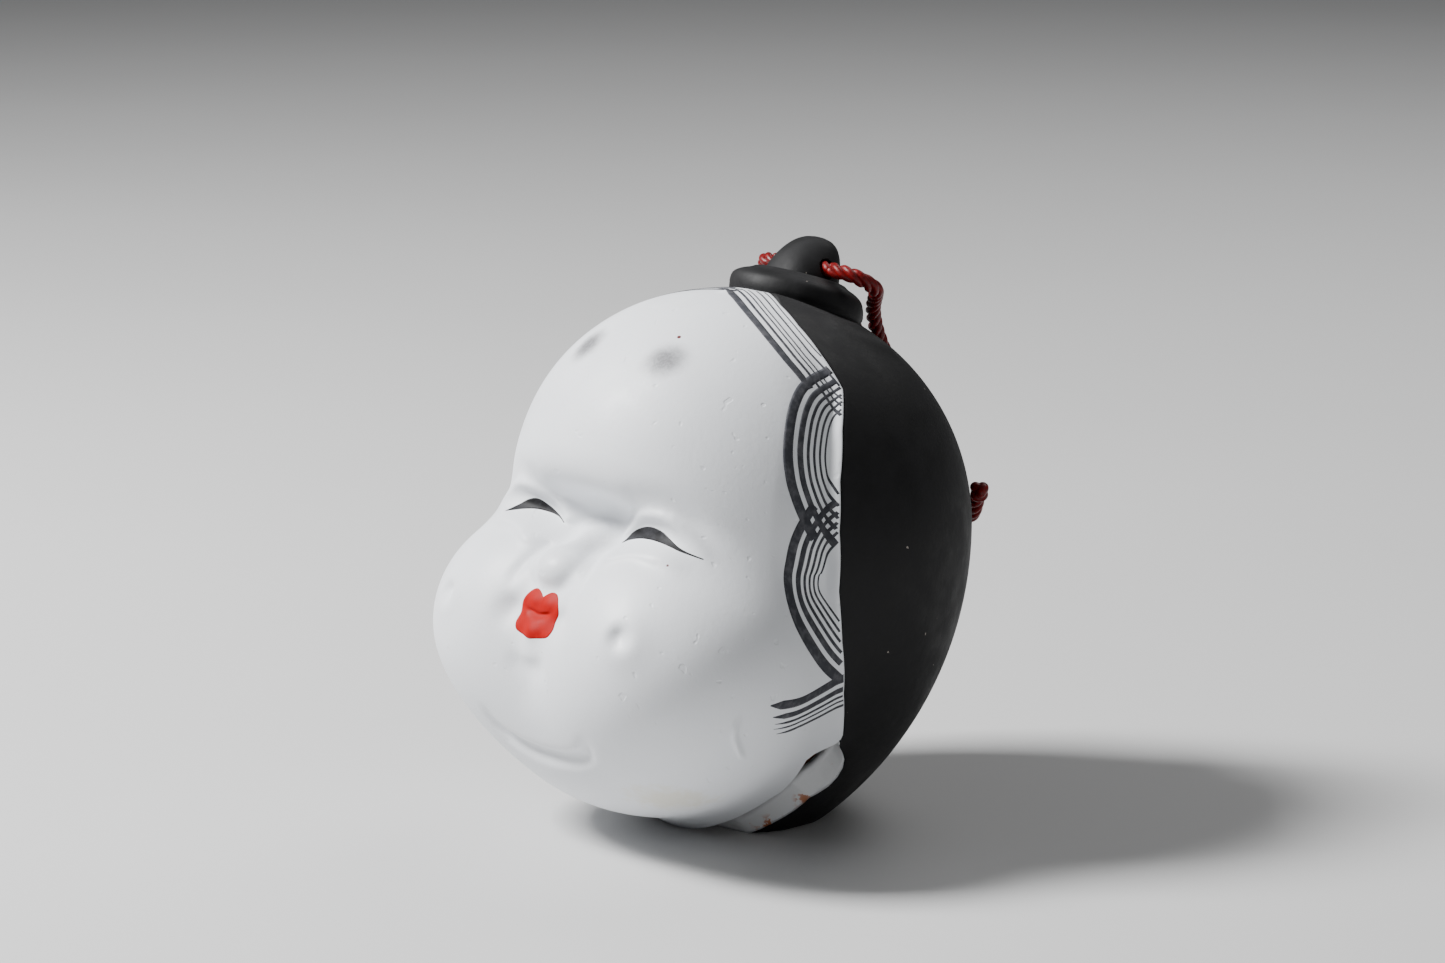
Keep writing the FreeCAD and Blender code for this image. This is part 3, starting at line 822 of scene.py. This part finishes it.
# Brush strokes beside the hairline. Each group follows one line of guide points; each stroke in
# it is (distance from the line towards the hair, width, where it starts, where it ends). Most of
# the guide points were worked out outside this script and weren't chosen by hand.
DIAGONAL = [
    (-1.6, -2.5, 31.5), (0.1, -3.1, 31.4), (7.2, -6.5, 30.3), (12.6, -8.0, 28.1),
    (16.7, -8.3, 25.6), (19.6, -7.8, 23.2), (22.6, -7.0, 20.0), (25.2, -6.0, 16.0),
]
UPPER_ARC = [
    (18.2, 1.6, 24.8), (19.3, -2.3, 24.2), (19.7, -5.6, 23.6), (20.2, -8.5, 22.4),
    (21.2, -11.0, 20.3), (22.4, -12.9, 17.5), (23.5, -14.1, 14.7), (24.5, -14.5, 11.7),
    (25.4, -14.3, 9.3), (26.4, -13.7, 6.8), (27.6, -12.4, 3.6), (28.6, -10.6, 0.4),
    (29.2, -8.0, -2.6),
]
LOWER_ARC = [
    (27.2, -8.4, 11.4), (26.9, -11.4, 9.4), (26.4, -13.7, 6.8), (26.1, -15.1, 4.4),
    (26.1, -15.9, 2.0), (26.4, -16.6, -0.4), (27.5, -16.9, -3.4), (28.7, -16.5, -6.4),
    (29.2, -14.6, -9.8), (29.0, -11.9, -12.9), (28.4, -8.0, -16.0),
]
CHEEK_BRUSH = [
    (28.0, -6.0, -13.0), (28.4, -9.4, -14.1), (28.8, -12.5, -14.6), (29.4, -16.6, -14.9),
    (29.4, -21.3, -14.5),
]

STROKES = {
    "diagonal": (DIAGONAL, [
        (0.0, 1.1, 0.0, 0.785), (1.75, 0.42, 0.0, 1.0), (2.75, 0.26, 0.02, 1.0),
        (3.45, 0.24, 0.04, 1.0), (4.5, 0.3, 0.05, 1.0), (5.5, 0.22, 0.06, 1.0),
    ]),
    "upper_arc": (UPPER_ARC, [
        (0.0, 1.35, 0.0, 0.8), (1.95, 0.85, 0.0, 0.9), (3.3, 0.45, 0.0, 1.0),
        (4.25, 0.38, 0.0, 1.0), (5.15, 0.34, 0.0, 1.0), (6.0, 0.28, 0.0, 1.0),
    ]),
    "lower_arc": (LOWER_ARC, [
        (0.0, 1.3, 0.12, 1.0), (1.85, 0.8, 0.04, 1.0), (3.1, 0.45, 0.0, 1.0),
        (4.0, 0.38, 0.0, 1.0), (4.8, 0.34, 0.0, 1.0), (5.6, 0.28, 0.0, 1.0),
    ]),
    "cheek_brush": (CHEEK_BRUSH, [
        (0.0, 1.3, 0.0, 1.0), (1.95, 0.85, 0.0, 0.93), (3.3, 0.4, 0.0, 0.88),
        (4.15, 0.3, 0.0, 0.87), (4.95, 0.42, 0.0, 0.82),
    ]),
}


# How far back from its end a tapering stroke starts to narrow.
BRUSH_TIP = 2.2


def stroke_guides(line, offset, width, start, end, tip):
    """The grid of guide points for one stroke beside a line, cut off where the hair begins."""
    count = 220
    base = on_skin(smooth_line(line, count))
    step = np.gradient(base, axis=0)
    step /= np.linalg.norm(step, axis=1, keepdims=True)
    inward = np.cross(unit(base), step)
    share = np.linspace(0.0, 1.0, count)
    keep = (share >= start) & (share <= end)
    base, inward, share = base[keep], inward[keep], share[keep]
    run = np.linalg.norm(np.diff(base, axis=0), axis=1).sum()
    far = (share[-1] - share) / (share[-1] - share[0]) * run
    taper = np.clip(0.12 + far / tip, 0.12, 1.0) if tip else np.ones(len(share))
    across = np.linspace(0.0, 1.0, 5)
    half = (across - 0.5)[None] * width * taper[:, None]
    grid = base[:, None] + inward[:, None] * (offset + width / 2 + half)[..., None]
    ray = unit(grid)
    psi = np.arctan2(ray[..., 0], ray[..., 2])
    room = edge_of(FACE_EDGE, psi) - np.arccos(np.clip(-ray[..., 1], -1, 1))
    inside = (room > 0.003).all(axis=1)
    if inside.sum() < 4:
        return None
    where = np.flatnonzero(inside)
    runs = np.split(where, np.flatnonzero(np.diff(where) > 1) + 1)
    longest = max(runs, key=len)
    return grid[longest] if len(longest) > 3 else None


def stroke_pieces():
    """The fans of grey brush strokes on both sides of the face."""
    made = []
    for mirror, side in ((False, "left"), (True, "right")):
        for name, (line, strokes) in STROKES.items():
            tip = BRUSH_TIP if name == "cheek_brush" else 0.0
            for k, (offset, width, start, end) in enumerate(strokes):
                guides = stroke_guides(line, offset, width, start, end, tip)
                if guides is None:
                    continue
                if mirror:
                    guides = guides * np.array([-1.0, 1.0, 1.0])
                made.append(paint_sheet(f"stroke_{name}_{side}_{k}", guides))
    return made


# The painted eyes: upper and lower outlines from the inner corner to the outer tail. The face's
# left eye has the longer tail. Most of the points were worked out outside this script and
# weren't chosen by hand.
EYES = {
    "left": (
        [
            (6.2, -25.8, 2.4), (6.9, -24.4, 3.6), (8.7, -24.4, 4.5), (11.1, -25.0, 5.05),
            (13.3, -25.3, 4.9), (14.9, -25.4, 4.3), (17.3, -25.4, 3.3), (20.2, -24.4, 2.4),
        ],
        [
            (6.3, -25.9, 2.3), (7.3, -25.4, 2.8), (9.2, -25.4, 3.3), (11.4, -25.6, 3.6),
            (13.5, -25.8, 3.65), (15.4, -25.8, 3.45), (17.4, -25.6, 3.0), (20.2, -24.5, 2.3),
        ],
    ),
    "right": (
        [
            (-6.0, -24.8, 2.8), (-8.0, -24.5, 3.8), (-9.4, -24.7, 4.5), (-10.7, -24.9, 5.05),
            (-11.8, -25.1, 5.1), (-13.1, -25.3, 4.7), (-14.2, -25.6, 3.9), (-15.2, -26.0, 3.0),
        ],
        [
            (-6.0, -24.9, 2.7), (-7.1, -24.7, 3.2), (-8.1, -24.7, 3.5), (-9.4, -24.9, 3.7),
            (-11.0, -25.3, 3.8), (-12.6, -25.7, 3.6), (-13.8, -26.0, 3.3), (-15.2, -26.1, 2.9),
        ],
    ),
}


def eye_pieces():
    """The two laughing eyes, each a crescent of black paint."""
    made = []
    for side, (upper_points, lower_points) in EYES.items():
        upper = smooth_line(upper_points, 60)
        lower = smooth_line(lower_points, 60)
        across = np.linspace(0.0, 1.0, 9)[None, :, None]
        guides = upper[:, None] * (1 - across) + lower[:, None] * across
        made.append(paint_sheet("eye_paint_" + side, guides))
    return made


# The painted lips' outline in x and z: a bow above, a smaller lobe below.
LIP_OUTLINE = [
    (0.0, -4.6), (0.6, -4.2), (1.4, -3.9), (2.4, -4.1), (3.2, -4.9), (3.6, -6.0), (3.4, -7.0),
    (3.5, -7.8), (3.0, -8.5), (2.1, -8.8), (1.0, -8.9), (0.0, -9.0),
]
LIP_AHEAD = -33.9


def lip_pieces():
    """The red lips, painted over the bow of the mouth."""
    right = [(x, LIP_AHEAD, z) for x, z in LIP_OUTLINE]
    left = [(-x, y, z) for x, y, z in right[::-1]][1:-1]
    closed = right + left + [right[0]]
    outline = smooth_line(closed, 97)[:-1]
    middle = np.array([0.0, LIP_AHEAD, -6.4])
    share = np.linspace(0.04, 1.0, 18)
    rings = [middle + (outline - middle) * t for t in share]
    ray = unit(np.array(rings))
    reach = face_reach(ray)
    lift = np.full(reach.shape, 0.07)
    lift[-1] = 0.006
    lift[-2] = 0.055
    tops = list(ray * (reach + lift)[..., None])
    bottoms = list((ray * (reach - PAINT_DEPTH)[..., None])[::-1])
    ahead = unit(middle[None])[0]
    depth = face_reach(ahead[None])[0]
    outside, inside = ahead * (depth + 0.07), ahead * (depth - PAINT_DEPTH)
    return [shell("lip_paint", np.zeros(96), tops + bottoms, outside, inside, 99)]


# ---------------------------------------------------------------- materials


def blank_material(name):
    """A new node material, with its tree and its surface shader."""
    material = bpy.data.materials.new(name)
    material.use_nodes = True
    tree = material.node_tree
    return material, tree, tree.nodes["Principled BSDF"]


def add_node(tree, kind, settings=None, **inputs):
    """A node of that kind, with its settings and inputs; a socket given as an input is linked."""
    node = tree.nodes.new(kind)
    for key, value in (settings or {}).items():
        setattr(node, key, value)
    for key, value in inputs.items():
        socket = node.inputs[int(key[1:])] if key[0] == "i" and key[1:].isdigit() else node.inputs[key]
        if isinstance(value, bpy.types.NodeSocket):
            tree.links.new(value, socket)
        else:
            socket.default_value = value
    return node


def place(tree):
    """The object's own coordinates, in metres."""
    return add_node(tree, "ShaderNodeTexCoord").outputs["Object"]


def noise(tree, scale, detail=4.0, roughness=0.55, at=None):
    """A noise pattern; scale is in features per metre."""
    source = at if at is not None else place(tree)
    settings = {"Vector": source, "Scale": scale, "Detail": detail, "Roughness": roughness}
    return add_node(tree, "ShaderNodeTexNoise", **settings).outputs["Fac"]


def ramp(tree, value, low, high, start=0.0, end=1.0):
    """value taken from low..high to start..end, held outside."""
    settings = {"interpolation_type": "SMOOTHSTEP", "clamp": True}
    node = add_node(tree, "ShaderNodeMapRange", settings, i0=value, i1=low, i2=high, i3=start, i4=end)
    return node.outputs[0]


def maths(tree, operation, first, second):
    """One arithmetic step."""
    return add_node(tree, "ShaderNodeMath", {"operation": operation}, i0=first, i1=second).outputs[0]


def blend_colour(tree, amount, first, second):
    """first to second by amount."""
    node = add_node(tree, "ShaderNodeMix", {"data_type": "RGBA"})
    for index, value in ((0, amount), (6, first), (7, second)):
        if isinstance(value, bpy.types.NodeSocket):
            tree.links.new(value, node.inputs[index])
        else:
            node.inputs[index].default_value = value
    return node.outputs[2]


def spot(tree, centre, semi, soft=0.5, rough=0.0):
    """1 inside an ellipsoid at centre (millimetres about the head's middle), fading to 0."""
    middle = (np.array(centre) + HEAD_CENTRE) * MM
    kind = "ShaderNodeVectorMath"
    scale = tuple(1.0 / (np.array(semi) * MM))
    offset = add_node(tree, kind, {"operation": "SUBTRACT"}, i0=place(tree), i1=tuple(middle))
    shrunk = add_node(tree, kind, {"operation": "MULTIPLY"}, i0=offset.outputs[0], i1=scale)
    length = add_node(tree, kind, {"operation": "LENGTH"}, i0=shrunk.outputs[0])
    reach = length.outputs["Value"]
    if rough:
        wobble = ramp(tree, noise(tree, 700.0, 3.0), 0.3, 0.7, -rough, rough)
        reach = maths(tree, "ADD", reach, wobble)
    return ramp(tree, reach, 1.0 - soft, 1.0, 1.0, 0.0)


def raise_surface(tree, shader, height, distance, strength=1.0):
    """Bump from a height pattern; distance is in metres."""
    node = add_node(tree, "ShaderNodeBump", Strength=strength, Distance=distance, Height=height)
    tree.links.new(node.outputs[0], shader.inputs["Normal"])


WHITE = (0.80, 0.82, 0.85, 1.0)
BROW_AND_SHADE_GREY = (0.20, 0.20, 0.21, 1.0)
STAIN = (0.66, 0.62, 0.47, 1.0)
CLAY = (0.46, 0.17, 0.08, 1.0)
DARK_CLAY = (0.24, 0.08, 0.04, 1.0)

# Grey on the white: centre, half sizes, strength. The first two are the brushed brows; the third, beside
# the nose's bridge, is painted shade for the hollow there.
BROWS_AND_PAINTED_SHADE = [
    ((7.5, -19.6, 25.2), (3.9, 5.0, 3.0), 1.0),
    ((-7.5, -19.6, 25.2), (3.9, 5.0, 3.0), 1.0),
    # Painted shade in the hollow beside the nose's bridge, not a brushed mark.
    ((1.8, -26.4, 1.8), (4.6, 5.0, 3.2), 0.42),
]
# Specks of rust-brown: centre, radius.
SPECKS = [
    ((17.3, -27.8, 1.5), 0.32),
    ((6.4, -16.3, 27.6), 0.3),
    ((-1.8, -36.0, -22.6), 0.28),
    ((12.0, -20.2, 22.0), 0.16),
]
# Fields of fine dots: centre, half sizes.
DOT_FIELDS = [
    ((5.6, -27.6, 1.6), (5.0, 3.0, 2.0)),
    ((3.6, -36.2, -10.8), (2.4, 2.4, 1.4)),
]


def white_paint():
    """Shell-white ground over clay: semi-matt, with brushed brows, painted shade beside the nose's bridge,
    a stain, specks, dots and pits.
    """
    material, tree, shader = blank_material("gofun_white")
    cloud = ramp(tree, noise(tree, 45.0, 5.0), 0.35, 0.7)
    colour = blend_colour(tree, cloud, WHITE, (0.765, 0.785, 0.815, 1.0))
    # The brows are brushed grey; the last entry is painted shade beside the nose.
    for centre, semi, strength in BROWS_AND_PAINTED_SHADE:
        mask = maths(tree, "MULTIPLY", spot(tree, centre, semi, 0.85, 0.04), strength)
        grain = ramp(tree, noise(tree, 2600.0, 2.0, 0.7), 0.3, 0.62, 0.85, 1.0)
        colour = blend_colour(tree, maths(tree, "MULTIPLY", mask, grain), colour, BROW_AND_SHADE_GREY)
    stain = spot(tree, (15.7, -26.2, -29.3), (7.5, 8.0, 3.6), 0.8, 0.15)
    colour = blend_colour(tree, maths(tree, "MULTIPLY", stain, 0.55), colour, STAIN)
    for centre, radius in SPECKS:
        mask = spot(tree, centre, (radius, radius, radius), 0.35, 0.2)
        colour = blend_colour(tree, mask, colour, (0.11, 0.02, 0.02, 1.0))
    dots = ramp(tree, noise(tree, 3200.0, 1.0), 0.70, 0.76)
    for centre, semi in DOT_FIELDS:
        field = maths(tree, "MULTIPLY", spot(tree, centre, semi, 0.8), dots)
        colour = blend_colour(tree, field, colour, (0.34, 0.24, 0.17, 1.0))
    tree.links.new(colour, shader.inputs["Base Color"])
    tree.links.new(ramp(tree, noise(tree, 160.0), 0.3, 0.7, 0.42, 0.54), shader.inputs["Roughness"])
    shader.inputs["Specular IOR Level"].default_value = 0.42
    fine = noise(tree, 1500.0, 5.0, 0.6)
    pits = ramp(tree, noise(tree, 620.0, 1.0), 0.22, 0.30, -1.6, 0.0)
    raise_surface(tree, shader, maths(tree, "ADD", fine, pits), 0.00004, 0.7)
    return material


def rim_paint():
    """The slit rim's white, with fired clay showing where its edge has chipped."""
    material, tree, shader = blank_material("rim_white")
    chips = ramp(tree, noise(tree, 520.0, 4.0, 0.6), 0.50, 0.56)
    lower = spot(tree, (13.0, -5.6, -37.6), (4.6, 2.6, 2.4), 0.7)
    upper = spot(tree, (17.8, -4.6, -33.6), (2.6, 1.6, 2.4), 0.7)
    band = maths(tree, "ADD", lower, upper)
    specks = ramp(tree, noise(tree, 1400.0, 2.0), 0.72, 0.77, 0.0, 0.5)
    amount = maths(tree, "MAXIMUM", maths(tree, "MULTIPLY", chips, band), specks)
    colour = blend_colour(tree, amount, (0.76, 0.77, 0.78, 1.0), (0.48, 0.17, 0.07, 1.0))
    tree.links.new(colour, shader.inputs["Base Color"])
    tree.links.new(ramp(tree, noise(tree, 300.0), 0.3, 0.7, 0.5, 0.62), shader.inputs["Roughness"])
    raise_surface(tree, shader, noise(tree, 900.0, 5.0), 0.00008, 0.8)
    return material


def hair_paint():
    """Matt black ground on the hair, with brush drag and a few pale chips."""
    material, tree, shader = blank_material("hair_black")
    drag = noise(tree, 240.0, 5.0, 0.6)
    dark, worn = (0.005, 0.005, 0.0055, 1.0), (0.011, 0.011, 0.012, 1.0)
    colour = blend_colour(tree, ramp(tree, drag, 0.35, 0.7), dark, worn)
    chips = ramp(tree, noise(tree, 900.0, 2.0, 0.5), 0.775, 0.79)
    colour = blend_colour(tree, chips, colour, (0.30, 0.27, 0.24, 1.0))
    tree.links.new(colour, shader.inputs["Base Color"])
    tree.links.new(ramp(tree, drag, 0.3, 0.7, 0.56, 0.72), shader.inputs["Roughness"])
    shader.inputs["Specular IOR Level"].default_value = 0.24
    raise_surface(tree, shader, noise(tree, 1100.0, 6.0, 0.65), 0.00007, 0.6)
    return material


def bare_clay(name, tone, shade):
    """Fired clay without paint: grainy and matt."""
    material, tree, shader = blank_material(name)
    colour = blend_colour(tree, ramp(tree, noise(tree, 220.0, 6.0), 0.35, 0.68), shade, tone)
    tree.links.new(colour, shader.inputs["Base Color"])
    tree.links.new(ramp(tree, noise(tree, 500.0), 0.3, 0.7, 0.78, 0.92), shader.inputs["Roughness"])
    raise_surface(tree, shader, noise(tree, 1300.0, 6.0, 0.7), 0.00015, 0.8)
    return material


def brush_paint(name, dark, thin, gloss):
    """Brushed paint that thins out in streaks."""
    material, tree, shader = blank_material(name)
    streak = noise(tree, 900.0, 4.0, 0.6)
    colour = blend_colour(tree, ramp(tree, streak, 0.4, 0.75), dark, thin)
    tree.links.new(colour, shader.inputs["Base Color"])
    tree.links.new(ramp(tree, streak, 0.3, 0.7, gloss, gloss + 0.12), shader.inputs["Roughness"])
    shader.inputs["Specular IOR Level"].default_value = 0.12
    raise_surface(tree, shader, streak, 0.00003, 0.6)
    return material


def cord_fibre():
    """Red twisted rayon cord: soft gloss and fine fibre."""
    material, tree, shader = blank_material("cord_red")
    fibre = noise(tree, 2400.0, 3.0, 0.6)
    deep, bright = (0.10, 0.0005, 0.001, 1.0), (0.20, 0.001, 0.0015, 1.0)
    colour = blend_colour(tree, ramp(tree, fibre, 0.35, 0.7), deep, bright)
    tree.links.new(colour, shader.inputs["Base Color"])
    tree.links.new(ramp(tree, fibre, 0.3, 0.7, 0.36, 0.5), shader.inputs["Roughness"])
    shader.inputs["Specular IOR Level"].default_value = 0.3
    raise_surface(tree, shader, fibre, 0.00006, 0.7)
    return material


def floor_paint():
    """The studio floor: plain, pale and matt."""
    material, tree, shader = blank_material("studio_floor")
    grey, pale = (0.56, 0.56, 0.56, 1.0), (0.60, 0.60, 0.60, 1.0)
    colour = blend_colour(tree, noise(tree, 6.0, 3.0), grey, pale)
    tree.links.new(colour, shader.inputs["Base Color"])
    shader.inputs["Roughness"].default_value = 0.6
    return material


# ---------------------------------------------------------------- studio


def camera():
    """The camera, turned to the face's left and a little above it."""
    turn, lift = math.radians(VIEW_AZIMUTH), math.radians(VIEW_ELEVATION)
    back = Vector((math.sin(turn) * math.cos(lift), -math.cos(turn) * math.cos(lift), math.sin(lift)))
    data = bpy.data.cameras.new("camera")
    data.lens = CAMERA_LENS
    data.sensor_width = 36.0
    data.clip_start = 0.01
    obj = bpy.data.objects.new("camera", data)
    obj.location = Vector(CAMERA_TARGET) * MM + back * CAMERA_DISTANCE * MM
    obj.rotation_euler = back.to_track_quat("Z", "Y").to_euler()
    bpy.context.scene.collection.objects.link(obj)
    bpy.context.scene.camera = obj


def lamp(name, turn, lift, distance, size, power, tint=(1.0, 1.0, 1.0)):
    """A square soft light at an angle round the bell, aimed at its middle."""
    a, e = math.radians(turn), math.radians(lift)
    back = Vector((math.sin(a) * math.cos(e), -math.cos(a) * math.cos(e), math.sin(e)))
    data = bpy.data.lights.new(name, "AREA")
    data.size = size
    data.energy = power
    data.color = tint
    obj = bpy.data.objects.new(name, data)
    obj.location = Vector((0.0, 0.0, 0.04)) + back * distance
    obj.rotation_euler = back.to_track_quat("Z", "Y").to_euler()
    bpy.context.scene.collection.objects.link(obj)


def studio():
    """A pale floor, an even pale surround and soft lights from the front left."""
    size = 3.0
    mesh = bpy.data.meshes.new("floor")
    corners = [(-size, -size, 0), (size, -size, 0), (size, size, 0), (-size, size, 0)]
    mesh.from_pydata(corners, [], [(0, 1, 2, 3)])
    floor = bpy.data.objects.new("floor", mesh)
    bpy.context.scene.collection.objects.link(floor)
    mesh.materials.append(floor_paint())
    world = bpy.data.worlds.new("surround")
    world.use_nodes = True
    world.node_tree.nodes["Background"].inputs["Color"].default_value = (0.82, 0.84, 0.86, 1.0)
    world.node_tree.nodes["Background"].inputs["Strength"].default_value = 0.09
    bpy.context.scene.world = world
    lamp("key", -42.0, 46.0, 0.75, 0.2, 16.0)
    lamp("fill", 100.0, 25.0, 0.9, 0.8, 0.8)
    lamp("rim_light", 190.0, 50.0, 0.9, 0.5, 2.5)


# ---------------------------------------------------------------- assembly


def dress(obj, body, slot, *materials):
    """Gives a piece its materials and its body. Its slot argument is not used."""
    for material in materials:
        obj.data.materials.append(material)
    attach(obj, body)
    return obj


def build():
    """Every piece of the bell, dressed and riding on its body."""
    clay = bare_clay("bare_clay", CLAY, DARK_CLAY)
    white, black = white_paint(), hair_paint()
    red = cord_fibre()
    for piece in cord_pieces():
        dress(piece, "cord_loop", "cord_red", red)

    face = dress(face_piece(), "head", "gofun_white", white, clay)
    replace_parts(face, "face_shell")
    hair = dress(hair_piece(), "head", "hair_black", black, clay)
    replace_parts(hair, "back_shell")
    rim = dress(rim_piece(), "head", "gofun_white", rim_paint())
    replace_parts(rim, "slit_lip")
    roll, bun = topknot_pieces()
    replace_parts(dress(roll, "head", "hair_black", black), "topknot_roll")
    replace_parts(dress(bun, "head", "hair_black", black), "topknot_bun")
    rough_clay = bare_clay("pellet_clay", (0.36, 0.15, 0.08, 1.0), CLAY)
    pellet = dress(pellet_piece(), "pellet", "pellet_clay", rough_clay)
    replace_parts(pellet, "rattle_pellet")

    ink = brush_paint("stroke_ink", (0.045, 0.047, 0.055, 1.0), (0.10, 0.10, 0.11, 1.0), 0.5)
    for piece in stroke_pieces():
        dress(piece, "head", "hair_black", ink)
    eye = brush_paint("eye_black", (0.010, 0.010, 0.011, 1.0), (0.032, 0.032, 0.036, 1.0), 0.45)
    for piece in eye_pieces():
        dress(piece, "head", "hair_black", eye)
    lips = brush_paint("lip_red", (0.34, 0.0008, 0.0004, 1.0), (0.40, 0.001, 0.0005, 1.0), 0.5)
    for piece in lip_pieces():
        dress(piece, "head", "gofun_white", lips)


camera()
studio()
build()
